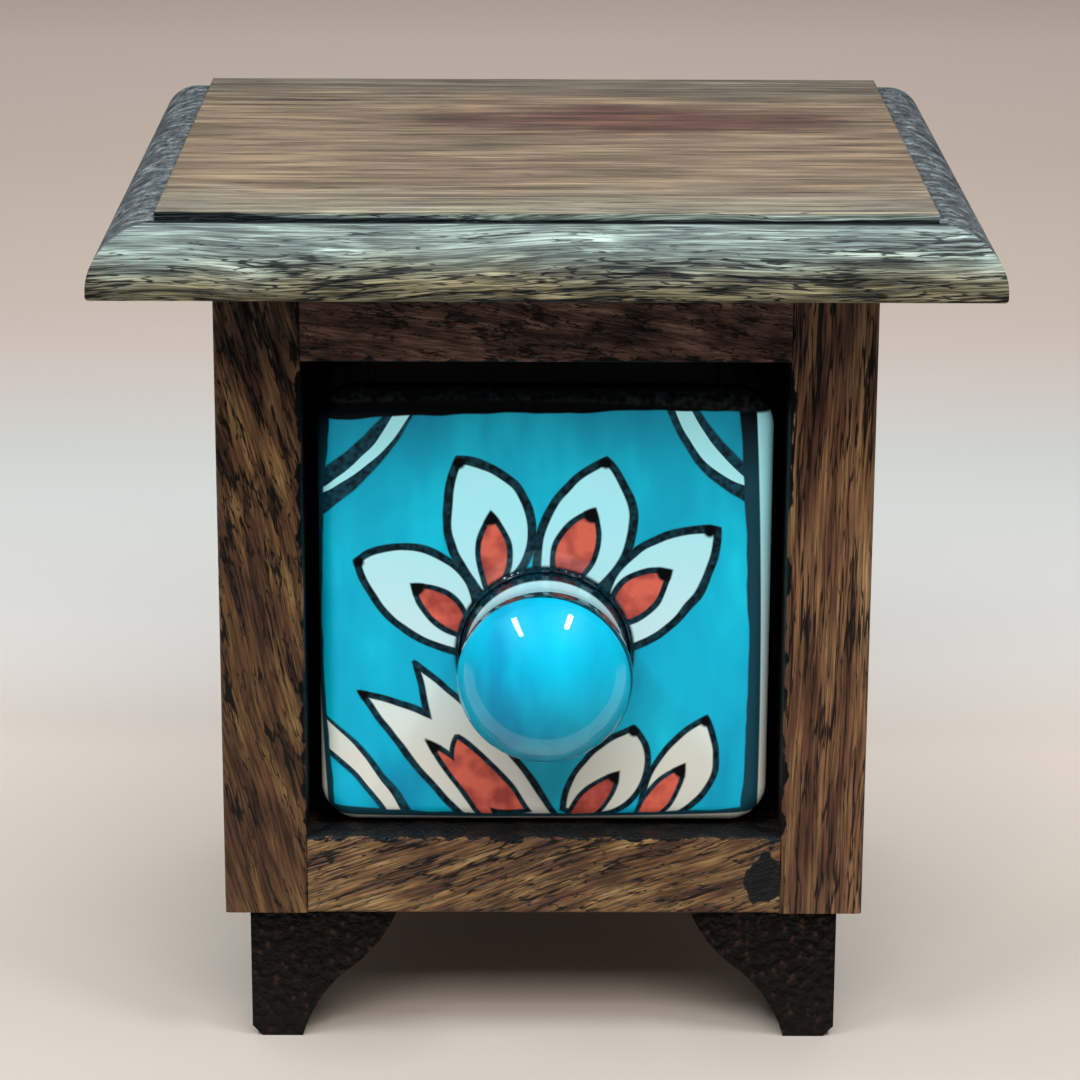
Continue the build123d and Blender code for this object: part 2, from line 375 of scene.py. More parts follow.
# %% [markdown]
# Mixing materials
#
# Every finish below is a node tree. One helper adds a node, sets it up and wires it, so a recipe
# reads as a list of what goes into what. A colour is written as a painter would look it up, as
# an sRGB hex value, and is turned to the linear light that the renderer adds up. The scale of a
# noise says how many of its waves go into a metre, so 150 means clouds of about 7 mm.

# %% Node helper and colours
def linear(hex_colour):
    """An sRGB hex colour as linear RGBA."""
    channels = [int(hex_colour[i:i + 2], 16) / 255 for i in (1, 3, 5)]
    return tuple(
        c / 12.92 if c <= 0.04045 else ((c + 0.055) / 1.055) ** 2.4 for c in channels) + (1.0,)


def write_stops(elements, stops):
    """Sets the stops of a colour ramp, each written as its place and its hex colour."""
    while len(elements) < len(stops):
        elements.new(0.5)
    for element, (place, colour) in zip(elements, stops):
        element.position = place
        element.color = linear(colour)


def add(tree, kind, settings=None, inputs=None):
    """Adds a node by the last part of its type's name, with its settings and its links.

    A single word as the settings is the operation of a node that calculates.
    """
    node = tree.nodes.new("ShaderNode" + kind)
    if isinstance(settings, str):
        settings = {"operation": settings}
    for setting, value in (settings or {}).items():
        if setting == "stops":
            write_stops(node.color_ramp.elements, value)
        else:
            setattr(node, setting, value)
    for socket, value in (inputs or {}).items():
        if isinstance(value, bpy.types.Node):
            value = next(output for output in value.outputs if output.enabled)
        if isinstance(value, bpy.types.NodeSocket):
            tree.links.new(value, node.inputs[socket])
        else:
            node.inputs[socket].default_value = value
    return node


def new_material(name, values=None):
    """An empty material with a Principled shader of these values, wired to the output."""
    material = bpy.data.materials.new(name)
    material.use_nodes = True
    tree = material.node_tree
    tree.nodes.clear()
    shader = add(tree, "BsdfPrincipled", {}, values)
    add(tree, "OutputMaterial", {}, {"Surface": shader})
    return material, tree, shader


# %% [markdown]
# Finding a place on the painted face
#
# The pattern is brushwork: petals and a leaf, each a white shape with a dark outline and a red
# heart. A shader can draw such a shape exactly, at any zoom, when the shape is made of arcs. The
# distance to an arc is the distance to its circle's centre less its radius, and a petal is where
# all its arcs agree that a point is inside. The points of each arc were read off the photograph
# in pixels, and the camera's own ray through a pixel says where that is on the face.

# %% Pixels to the face
def on_face(pixel):
    """Where the camera's ray through a pixel of the photograph meets the drawer's face: x and z."""
    across = (pixel[0] - picture_width / 2) / focal_pixels
    down = (pixel[1] - picture_width / 2) / focal_pixels
    ray = view_ahead + view_right * across - view_up * down
    meeting = camera_place + ray * (face_front - camera_place.y) / ray.y
    return meeting.x, meeting.z


def side_of_arc(tree, place, pixels, inside):
    """How far a place is outside an arc through three pixels, negative on the side of inside."""
    centre, radius = circle_through(*[on_face(pixel) for pixel in pixels])
    inner = on_face(inside)
    to_inner = math.hypot(inner[0] - centre[0], inner[1] - centre[1])
    away = add(tree, "VectorMath", "DISTANCE", {0: place, 1: (centre[0], 0, centre[1])})
    if to_inner < radius:
        return add(tree, "Math", "SUBTRACT", {0: away, 1: radius})
    return add(tree, "Math", "SUBTRACT", {0: radius, 1: away})


def together(tree, operation, distances):
    """Joins distances: MAXIMUM keeps what all shapes share, MINIMUM keeps what any covers."""
    joined = distances[0]
    for distance in distances[1:]:
        joined = add(tree, "Math", operation, {0: joined, 1: distance})
    return joined


# %% Read off the petals and the leaf
# Each shape has a pixel inside it, half the width of its outline in millimetres, its tip, and its
# arcs from the tip to the foot. A notch is cut out, and no outline runs out beyond a cap.
petals = [
    {"inside": (420, 590), "line": 0.62, "tip": (358, 562),
     "arcs": [((356, 561), (416, 547), (474, 596)), ((356, 561), (399, 625), (459, 651))]},
    {"inside": (490, 520), "line": 0.72, "tip": (460, 464),
     "arcs": [((459, 461), (532, 521), (517, 574)), ((459, 461), (448, 529), (481, 594))]},
    {"inside": (590, 520), "line": 0.68, "tip": (605, 463),
     "arcs": [((606, 460), (633, 529), (603, 586)), ((606, 460), (548, 516), (537, 567))]},
    {"inside": (690, 560), "line": 0.66, "tip": (709, 532),
     "arcs": [((719, 532), (666, 535), (606, 594)), ((717, 529), (713, 560), (697, 596))]},
    {"inside": (610, 780), "line": 0.50, "tip": (634, 731),
     "arcs": [((634, 728), (573, 777), (563, 812)), ((634, 728), (648, 759), (626, 805))]},
    {"inside": (690, 770), "line": 0.50, "tip": (707, 721),
     "arcs": [((707, 718), (676, 739), (648, 781)), ((707, 718), (716, 756), (686, 809))]},
]
hearts = [
    {"inside": (440, 610), "line": 0.45, "tip": (414, 587),
     "arcs": [((413, 586), (450, 596), (468, 622)), ((413, 586), (429, 617), (462, 635))]},
    {"inside": (492, 555), "line": 0.45, "tip": (491, 516),
     "arcs": [((491, 514), (479, 546), (484, 582)), ((491, 514), (509, 549), (507, 572))]},
    {"inside": (578, 545), "line": 0.45, "tip": (594, 513),
     "arcs": [((595, 511), (557, 541), (553, 569)), ((595, 511), (600, 534), (583, 574))]},
    {"inside": (640, 590), "line": 0.48, "tip": (666, 571),
     "arcs": [((669, 571), (646, 571), (611, 601)), ((669, 571), (656, 602), (621, 624))]},
    {"inside": (595, 795), "line": 0.36, "tip": (617, 774),
     "arcs": [((618, 773), (588, 788), (569, 812)), ((618, 773), (611, 795), (598, 813))]},
    {"inside": (665, 795), "line": 0.36, "tip": (683, 769),
     "arcs": [((684, 767), (659, 782), (640, 806)), ((684, 767), (678, 791), (662, 812))]},
]
leaf = {
    "inside": (440, 740), "line": 0.55, "tip": (364, 695),
    "arcs": [((363, 694), (408, 756), (458, 812)), ((416, 665), (505, 745), (553, 812))],
    "notch": {"inside": (400, 680), "arcs": [((363, 694), (396, 702), (427, 714)),
                                             ((427, 714), (422, 690), (416, 665))]},
    "cap": ((360, 689), (413, 661), (440, 650))}
leaf_heart = {
    "inside": (480, 785), "line": 0.42, "tip": (432, 745),
    "arcs": [((429, 743), (452, 777), (478, 813)), ((456, 736), (498, 770), (530, 813))],
    "notch": {"inside": (446, 740), "arcs": [((429, 743), (441, 749), (452, 756)),
                                             ((452, 756), (453, 746), (456, 736))]},
    "cap": ((425, 741), (440, 737), (460, 734))}


def shape(tree, place, drawn):
    """The distance to a drawn shape: inside its arcs, and less its notch."""
    inside = drawn["inside"]
    bounds = [side_of_arc(tree, place, arc, inside) for arc in drawn["arcs"]]
    if "notch" in drawn:
        notch = shape(tree, place, drawn["notch"])
        bounds.append(add(tree, "Math", "MULTIPLY", {0: notch, 1: -1.0}))
    return together(tree, "MAXIMUM", bounds)


def tip_mark(tree, place, drawn, distance, reach):
    """The darker end that the brush leaves where it is set down, at the tip of a shape."""
    tip = on_face(drawn["tip"])
    away = add(tree, "VectorMath", "DISTANCE", {0: place, 1: (tip[0], 0, tip[1])})
    near = add(tree, "Math", "SUBTRACT", {0: away, 1: reach * mm})
    within = add(tree, "Math", "SUBTRACT", {0: distance, 1: drawn["line"] * mm})
    return together(tree, "MAXIMUM", [near, within])


def outline(tree, place, drawn, distance):
    """How far a place is outside the painted line round a drawn shape."""
    from_line = add(tree, "Math", "ABSOLUTE", {0: distance})
    line = add(tree, "Math", "SUBTRACT", {0: from_line, 1: drawn["line"] * mm})
    if "cap" in drawn:
        line = together(tree, "MAXIMUM", [
            line, side_of_arc(tree, place, drawn["cap"], drawn["inside"])])
    return line


smooth = {"interpolation_type": "SMOOTHSTEP"}


def covered(tree, distance, softness):
    """1 inside a shape, 0 outside, with an edge as soft as the paint's, in millimetres."""
    return add(tree, "MapRange", smooth, {
        "Value": distance, "From Min": softness * mm, "From Max": -softness * mm})


def paint_over(tree, below, colour, cover):
    """Paints a colour over what is below, where it is covered."""
    return add(tree, "Mix", {"data_type": "RGBA"}, {0: cover, 6: below, 7: colour})


def rounded_window(tree, place, low, high, radius):
    """How far a place is outside an upright window with round corners."""
    middle = ((low[0] + high[0]) / 2, 0, (low[1] + high[1]) / 2)
    reach = ((high[0] - low[0]) / 2 - radius, 0, (high[1] - low[1]) / 2 - radius)
    offset = add(tree, "VectorMath", "SUBTRACT", {0: place, 1: middle})
    folded = add(tree, "VectorMath", "ABSOLUTE", {0: offset})
    beyond = add(tree, "VectorMath", "SUBTRACT", {0: folded, 1: reach})
    outside = add(tree, "VectorMath", "MAXIMUM", {0: beyond, 1: (0, 0, 0)})
    length = add(tree, "VectorMath", "LENGTH", {0: outside})
    return add(tree, "Math", "SUBTRACT", {0: length, 1: radius})


# %% Read off the strokes in the corners
# Each corner has a strip of white on a broader dark stroke. Both run off the face between an
# outer and an inner arc, and the pixel lies between them.
corner_strips = [
    {"inside": (362, 460),
     "stroke": (((416, 412), (374, 470), (324, 514)), ((388, 412), (352, 445), (323, 470))),
     "white": (((413, 412), (371, 461), (324, 493)), ((396, 412), (360, 458), (324, 488)))},
    {"inside": (706, 450),
     "stroke": (((667, 410), (690, 456), (746, 502)), ((701, 410), (719, 435), (746, 464))),
     "white": (((676, 410), (704, 459), (746, 486)), ((693, 410), (713, 443), (746, 478)))},
    {"inside": (372, 770),
     "stroke": (((326, 716), (372, 757), (413, 812)), ((326, 754), (357, 780), (381, 812))),
     "white": (((328, 722), (366, 759), (402, 812)), ((328, 749), (360, 775), (388, 812)))},
]
# The field, the stroke round it and the drawer's upper edge are bounded by arcs in the same way.
painted_field = {
    "inside": (540, 600),
    "arcs": [((741, 425), (748, 640), (742, 795)), ((335, 420), (540, 413), (738, 411)),
             ((328, 425), (322, 560), (334, 795)), ((340, 806), (540, 814), (735, 808))]}
frame_stroke = {
    "inside": (540, 600),
    "arcs": [((758, 430), (761, 650), (758, 790)), ((310, 430), (315, 600), (327, 790)),
             ((330, 815), (540, 818), (745, 813))]}
dark_edge = {"inside": (540, 600), "arcs": [((330, 404), (540, 402), (764, 414))]}
front_only = face_back - 0.1 * mm
ring_radius = 14.0 * mm
neck_paint_starts = face_front - 2.7 * mm
rim_line_starts = face_front - rim_distance
dome_starts = face_front - dome_distance
print("face corner at the upper right:", [round(v / mm, 1) for v in on_face((741, 411))])

# %% [markdown]
# Glazed earthenware, painted by hand
#
# White glaze covers the whole casting. On the face lies a turquoise wash that goes from light to
# dark where the brush carried more paint, and is darker along the top, which is painted shade of
# the overhang. Over it come the dark teal outlines, the white reserves and the red hearts. The
# clear glaze on top gives small sharp lights on a body that itself scatters softly, so the shader
# is a mid-rough base under a smooth coat.

# %% Paint and glaze the drawer
def painted_glaze():
    """The drawer's paint, from the wash up to the lines, under a clear coat of glaze."""
    material, tree, shader = new_material("hand_painted_glazed_earthenware", {
        "Roughness": 0.45, "IOR": 1.5, "Specular IOR Level": 0.2, "Coat Weight": 1.0,
        "Coat Roughness": 0.03})
    here = add(tree, "TexCoord").outputs["Object"]
    # The hand isn't a machine: a slow tremble of about a quarter millimetre moves every line.
    tremble = add(tree, "TexNoise", {}, {"Vector": here, "Scale": 150.0, "Detail": 1.0})
    shift = add(tree, "VectorMath", "MULTIPLY_ADD",
                {0: tremble.outputs["Color"], 1: (1.0 * mm,) * 3, 2: (-0.5 * mm,) * 3})
    moved = add(tree, "VectorMath", "ADD", {0: here, 1: shift})
    flatten = (1, 0, 1)
    place = add(tree, "VectorMath", "MULTIPLY", {0: moved, 1: flatten})
    steady = add(tree, "VectorMath", "MULTIPLY", {0: here, 1: flatten})
    split = add(tree, "SeparateXYZ", {}, {0: here})
    depth = split.outputs["Y"]

    def upwards(low, high):
        """How far up a place is between two heights in millimetres."""
        return add(tree, "MapRange", {}, {
            "Value": split.outputs["Z"], "From Min": low * mm, "From Max": high * mm})

    # The wash: upright brush marks about 11 mm wide, with painted shade of the overhang at the top.
    brushed = add(tree, "VectorMath", "MULTIPLY", {0: here, 1: (1, 1, 0.4)})
    clouds = add(tree, "TexNoise", {},
                 {"Vector": brushed, "Scale": 90.0, "Detail": 3.0, "Roughness": 0.5})
    wash = add(tree, "ValToRGB", {"stops": [
        (0.28, "#008bb4"), (0.44, "#00a8cb"), (0.58, "#00b5d7"), (0.74, "#0acfec")]}, {0: clouds})
    # Painted shade: the turquoise darkens towards the top, where the top board's overhang shades
    # it.
    overhang_shade = add(tree, "ValToRGB", {"stops": [(0.0, "#ffffff"), (1.0, "#ccd6da")]},
                 {0: upwards(84.0, 102.0)})
    wash = add(tree, "Mix", {"data_type": "RGBA", "blend_type": "MULTIPLY"},
               {0: 1.0, 6: wash, 7: overhang_shade})
    # Painted reflection: the white glaze is grey-beige low on the face, where it mirrors the pale
    # table, and goes cyan higher up in the upper petals.
    white_glaze_and_reflection = add(tree, "ValToRGB", {"stops": [
        (0.0, "#d8d8ce"), (0.45, "#c9e6ea"), (1.0, "#a9f0fb")]}, {0: upwards(46.0, 86.0)})
    bare_glaze = linear("#dde3e0")
    black_paint_end = linear("#030709")
    line_grain = add(tree, "TexNoise", {}, {"Vector": here, "Scale": 1100.0, "Detail": 2.0})
    line_paint = add(tree, "ValToRGB", {"stops": [(0.38, "#04131a"), (0.70, "#113f4e")]},
                     {0: line_grain})
    red_grain = add(tree, "TexNoise", {}, {"Vector": here, "Scale": 300.0, "Detail": 2.0})
    red_paint = add(tree, "ValToRGB", {"stops": [(0.36, "#a8433a"), (0.62, "#dc6653")]},
                    {0: red_grain})

    # The corner strokes are thinner paint than the outlines, so turquoise still shows in them.
    thin_line = add(tree, "ValToRGB", {"stops": [(0.36, "#06222c"), (0.66, "#10485a")]},
                    {0: line_grain})
    colour = wash
    for strip in corner_strips:
        stroke = shape(tree, place, {"inside": strip["inside"], "arcs": strip["stroke"]})
        white = shape(tree, place, {"inside": strip["inside"], "arcs": strip["white"]})
        colour = paint_over(tree, colour, thin_line, covered(tree, stroke, 0.20))
        colour = paint_over(tree, colour, white_glaze_and_reflection, covered(tree, white, 0.10))

    # White reserves first, then their dark outlines, then the red hearts with thinner outlines.
    for drawn_shapes, paint, softness, mark_reach in (
            (petals + [leaf], white_glaze_and_reflection, 0.08, 0.9),
            (hearts + [leaf_heart], red_paint, 0.10, 1.5)):
        distances = [shape(tree, place, drawn) for drawn in drawn_shapes]
        lines = [outline(tree, place, drawn, distance)
                 for drawn, distance in zip(drawn_shapes, distances)]
        marks = [tip_mark(tree, place, drawn, distance, mark_reach)
                 for drawn, distance in zip(drawn_shapes, distances)]
        filled = together(tree, "MINIMUM", distances)
        lined = together(tree, "MINIMUM", lines)
        marked = together(tree, "MINIMUM", marks)
        colour = paint_over(tree, colour, paint, covered(tree, filled, softness))
        colour = paint_over(tree, colour, line_paint, covered(tree, lined, 0.15))
        colour = paint_over(tree, colour, black_paint_end, covered(tree, marked, 0.30))

    # A stroke frames the field, teal at the sides and darker, almost black, at the top. Beyond it
    # the glaze is bare, except for the upper edge, which is painted near-black with grey speckle:
    # painted shade of the deep shadow under the rail.
    frame_paint = add(tree, "ValToRGB", {"stops": [(0.0, "#12404f"), (1.0, "#010406")]},
                      {0: upwards(90.0, 102.0)})
    # Painted shade: near-black with grey speckle on the drawer's upper edge, for the shadow under
    # the rail.
    edge_shade_black = add(tree, "ValToRGB", {"stops": [(0.40, "#040506"), (0.68, "#1d2225")]},
                     {0: line_grain})
    field = shape(tree, place, painted_field)
    stroke = shape(tree, steady, frame_stroke)
    below_edge = shape(tree, steady, dark_edge)
    colour = paint_over(tree, frame_paint, colour, covered(tree, field, 0.15))
    colour = paint_over(tree, white_glaze_and_reflection, colour, covered(tree, stroke, 0.12))
    colour = paint_over(tree, edge_shade_black, colour, covered(tree, below_edge, 0.25))

    # A dark ring lies round the knob's foot and runs a little way up the neck. The neck is white,
    # a dark line covers the rim, and the dome is turquoise. The line is broad on the right and
    # thin on the left, where the brush went further round.
    from_axis = add(tree, "VectorMath", "DISTANCE", {0: steady, 1: (0, 0, knob_axis)})
    ring = add(tree, "Math", "SUBTRACT", {0: from_axis, 1: ring_radius})
    colour = paint_over(tree, colour, line_paint, covered(tree, ring, 0.30))
    neck = add(tree, "Math", "SUBTRACT", {0: depth, 1: neck_paint_starts})
    colour = paint_over(tree, colour, white_glaze_and_reflection, covered(tree, neck, 0.35))
    rim_line = add(tree, "Math", "SUBTRACT", {0: depth, 1: rim_line_starts})
    colour = paint_over(tree, colour, line_paint, covered(tree, rim_line, 0.20))
    slanted_depth = add(tree, "Math", "MULTIPLY_ADD", {0: split.outputs["X"], 1: 0.06, 2: depth})
    dome = add(tree, "Math", "SUBTRACT", {0: slanted_depth, 1: dome_starts + 0.4 * mm})
    colour = paint_over(tree, colour, wash, covered(tree, dome, 0.12))

    # Only the front is painted: the sides, the tub and the inside are bare white glaze.
    front = add(tree, "Math", "SUBTRACT", {0: depth, 1: front_only})
    colour = paint_over(tree, bare_glaze, colour, covered(tree, front, 0.15))

    tree.links.new(colour.outputs[2], shader.inputs["Base Color"])
    swell = add(tree, "TexNoise", {}, {"Vector": here, "Scale": 120.0, "Detail": 1.0})
    relief = add(tree, "Bump", {}, {"Height": swell, "Strength": 0.10, "Distance": 1.0 * mm})
    tree.links.new(relief.outputs[0], shader.inputs["Normal"])
    tree.links.new(relief.outputs[0], shader.inputs["Coat Normal"])
    return material


drawer.data.materials.clear()
drawer.data.materials.append(painted_glaze())
print("glazed:", drawer.data.materials[0].name)

# %% [markdown]
# What makes the wood look like this
#
# The chest is mango wood with its open pores filled by a dark wash, which was then wiped off the
# surface. So the eye sees four things laid over each other: a slow figure of lighter and darker
# wood, fine fibres, brown streaks where the wash soaked in, and black dashes where it stayed in
# the pores. Each is a noise that is stretched along the grain: a streak 20 mm long and 1.3 mm
# wide is the same noise as a cloud, only with its coordinates divided by those two sizes.

# %% Grain helpers
def grain_space(tree, here, look):
    """Object coordinates, turned by the slant of the grain and bent by a slow wave."""
    turned = add(tree, "VectorRotate", {"rotation_type": "Y_AXIS"},
                 {"Vector": here, "Angle": math.radians(look["slant"])})
    drift = add(tree, "TexNoise", {"noise_dimensions": "4D"},
                {"Vector": here, "W": look["seed"], "Scale": 28.0, "Detail": 1.0})
    wave = look["wave"] * mm
    bend = add(tree, "VectorMath", "MULTIPLY_ADD",
               {0: drift.outputs["Color"], 1: (2 * wave,) * 3, 2: (-wave,) * 3})
    return add(tree, "VectorMath", "ADD", {0: turned, 1: bend})


def grain_noise(tree, space, look, size, layer, detail=2.0):
    """A noise drawn out along the grain: its spots have the size (length, width) in millimetres."""
    stretch = [1 / (size[1] * mm)] * 3
    stretch["XYZ".index(look["along"])] = 1 / (size[0] * mm)
    scaled = add(tree, "VectorMath", "MULTIPLY", {0: space, 1: stretch})
    return add(tree, "TexNoise", {"noise_dimensions": "4D"},
               {"Vector": scaled, "W": look["seed"] + layer, "Scale": 1.0, "Detail": detail,
                "Roughness": 0.55})


# %% The wiped wood itself
# A noise is rarely under the first of these levels or over the last, so the four colours of a
# look, from dark to light, are set there. Last comes how much the wash widens a pore.
figure_levels = (0.28, 0.44, 0.56, 0.74)
line_widening = 0.22


def wiped_wood(tree, look):
    """Colour, height and roughness of one piece of wood with the given look."""
    here = add(tree, "TexCoord").outputs["Object"]
    space = grain_space(tree, here, look)
    figure = grain_noise(tree, space, look, look["figure"], 0, 3.0)
    fibres = grain_noise(tree, space, look, look["fibres"], 1, 2.0)
    patches = grain_noise(tree, space, look, (40.0, 7.0), 2, 1.0)
    streaks = grain_noise(tree, space, look, look["streaks"], 3)
    pores = grain_noise(tree, space, look, look["pores"], 4)

    wood = add(tree, "ValToRGB", {"stops": list(zip(figure_levels, look["colours"]))}, {0: figure})
    fibre_light = add(tree, "MapRange", smooth, {
        "Value": fibres, "From Min": 0.34, "From Max": 0.66})
    colour = add(tree, "Mix", {"data_type": "RGBA", "blend_type": "MULTIPLY"},
                 {0: look["fibre_contrast"], 6: wood, 7: fibre_light})

    # Patches make the wash lie unevenly. A height ramp darkens the piece towards its top (towards
    # its foot for a negative share): partly wash, and partly painted shade of the top's overhang.
    upwards = add(tree, "MapRange", {}, {
        "Value": add(tree, "SeparateXYZ", {}, {0: here}).outputs["Z"],
        "From Min": look["spread"][0] * mm, "From Max": look["spread"][1] * mm,
        "To Min": -look["shade_and_wash_above"], "To Max": look["shade_and_wash_above"]})
    wash = add(tree, "Math", "MULTIPLY_ADD", {0: patches, 1: look["patchiness"], 2: upwards})
    soaked = add(tree, "Math", "ADD", {0: streaks, 1: wash})
    mean_wash = look["patchiness"] / 2
    streak_level = look["streak_level"] + mean_wash
    brown = add(tree, "MapRange", smooth, {
        "Value": soaked, "From Min": streak_level, "From Max": streak_level + 0.12,
        "To Max": look["streak_cover"]})
    # Where a noise passes its middle value it draws a thin line. More wash makes the line wider.
    off_line = add(tree, "Math", "ABSOLUTE",
                   {0: add(tree, "Math", "SUBTRACT", {0: pores, 1: 0.5})})
    line_edge = add(tree, "Math", "MULTIPLY_ADD", {0: soaked, 1: -line_widening, 2: off_line})
    pore_edge = -line_widening * (look["pore_level"] + mean_wash)
    black = add(tree, "MapRange", smooth, {
        "Value": line_edge, "From Min": pore_edge + 0.01, "From Max": pore_edge - 0.03,
        "To Max": look["pore_cover"]})
    colour = paint_over(tree, colour, linear(look["streak_colour"]), brown)
    colour = paint_over(tree, colour, linear(look["pore_colour"]), black)

    height = add(tree, "Math", "MULTIPLY_ADD", {0: black, 1: -0.7, 2: fibre_light})
    dull = add(tree, "Math", "MULTIPLY_ADD", {0: black, 1: 0.25, 2: look["roughness"]})
    return colour, height, dull


def finish_wood(tree, shader, colour, height, dull, relief):
    """Wires colour, roughness and the raised grain into the shader."""
    bump = add(tree, "Bump", {}, {"Height": height, "Strength": 0.6, "Distance": relief * mm})
    tree.links.new(colour.outputs[2], shader.inputs["Base Color"])
    tree.links.new(dull.outputs[0], shader.inputs["Roughness"])
    tree.links.new(bump.outputs[0], shader.inputs["Normal"])


# %% [markdown]
# The case
#
# The two sides, the rails that are the front edges of the level boards, and the back panel came
# from different pieces of the same timber, and each shows its own figure: the left side has
# slanting streaks, the right side straight ones, the lower board a flame that climbs to the
# right, and the upper one is dark and full of short dashes; its dark colours are also painted
# shade of the top's overhang. So each gets the same recipe with its own slant, colours and sizes.
# Lengths are in millimetres, and a lower level means more wash.

# %% Looks of the case boards
# A look's share above darkens the upper part of its board: painted shade of the overhang with the
# wash.
case_looks = {
    "left_side": {
        "along": "Z", "slant": 13.0, "wave": 2.0, "seed": 1.0,
        "figure": (18.0, 2.6), "streaks": (9.0, 1.2), "pores": (7.0, 0.75), "fibres": (9.0, 0.36),
        "colours": ("#38221a", "#583924", "#6e4c2d", "#957646"),
        "fibre_contrast": 0.62, "patchiness": 0.35, "shade_and_wash_above": 0.06, "spread": (30.0, 120.0),
        "streak_level": 0.55, "streak_cover": 0.7, "streak_colour": "#21110c",
        "pore_level": 0.36, "pore_cover": 0.95, "pore_colour": "#0c0604", "roughness": 0.5},
    "right_side": {
        "along": "Z", "slant": -1.2, "wave": 0.9, "seed": 11.0,
        "figure": (24.0, 2.2), "streaks": (20.0, 1.0), "pores": (14.0, 0.7), "fibres": (14.0, 0.34),
        "colours": ("#43261b", "#6b452f", "#89613f", "#ab875b"),
        "fibre_contrast": 0.62, "patchiness": 0.4, "shade_and_wash_above": 0.03, "spread": (30.0, 120.0),
        "streak_level": 0.57, "streak_cover": 0.65, "streak_colour": "#2a140e",
        "pore_level": 0.36, "pore_cover": 0.95, "pore_colour": "#120806", "roughness": 0.5},
    # The upper rail's colours are darkened also as painted shade of the top's overhang.
    "carcass_top": {
        "along": "X", "slant": -8.0, "wave": 1.2, "seed": 21.0,
        "figure": (8.0, 1.6), "streaks": (5.0, 1.4), "pores": (3.0, 0.8), "fibres": (4.0, 0.5),
        "colours": ("#321b15", "#4d2e24", "#694537", "#93705f"),
        "fibre_contrast": 0.4, "patchiness": 0.3, "shade_and_wash_above": 0.05, "spread": (111.0, 124.0),
        "streak_level": 0.56, "streak_cover": 0.7, "streak_colour": "#1c0f0c",
        "pore_level": 0.36, "pore_cover": 0.9, "pore_colour": "#0d0706", "roughness": 0.5},
    "carcass_bottom": {
        "along": "X", "slant": 20.0, "wave": 2.0, "seed": 31.0,
        "figure": (10.0, 2.2), "streaks": (7.0, 1.1), "pores": (6.0, 0.8), "fibres": (8.0, 0.38),
        "colours": ("#40251a", "#6a472e", "#8d693f", "#ba9766"),
        "fibre_contrast": 0.66, "patchiness": 0.35, "shade_and_wash_above": 0.04, "spread": (22.0, 34.0),
        "spot": (35.0, 27.5, 1.2),
        "streak_level": 0.58, "streak_cover": 0.7, "streak_colour": "#2c1810",
        "pore_level": 0.36, "pore_cover": 0.95, "pore_colour": "#120906", "roughness": 0.5},
    "back_panel": {
        "along": "Z", "slant": 2.0, "wave": 1.0, "seed": 41.0,
        "figure": (30.0, 3.0), "streaks": (20.0, 1.2), "pores": (12.0, 0.8), "fibres": (14.0, 0.4),
        "colours": ("#3c2519", "#5a3c28", "#6f4e33", "#866543"),
        "fibre_contrast": 0.45, "patchiness": 0.3, "shade_and_wash_above": 0.0, "spread": (30.0, 120.0),
        "streak_level": 0.58, "streak_cover": 0.7, "streak_colour": "#26150e",
        "pore_level": 0.42, "pore_cover": 0.9, "pore_colour": "#120806", "roughness": 0.55},
}
bay_low = Vector((
    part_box("left_side")[1].x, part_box("back_panel")[0].y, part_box("carcass_bottom")[1].z))
bay_high = Vector((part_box("right_side")[0].x, 0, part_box("carcass_top")[0].z))
case_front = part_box("left_side")[0].y
# The stain runs unevenly out of the bay: most of the way it ends near the edge of the wood.
stain_spread = 5.0 * mm
stain_margin = 0.44 * stain_spread
print("bay:", [round(v / mm, 1) for v in bay_low], [round(v / mm, 1) for v in bay_high])


# %% Dress the case boards
def bay_window(tree, place, margin):
    """How far a place is outside the bay's opening, grown by a margin."""
    return rounded_window(tree, place, (bay_low.x - margin, bay_low.z - margin),
                          (bay_high.x + margin, bay_high.z + margin), 0.1 * mm)


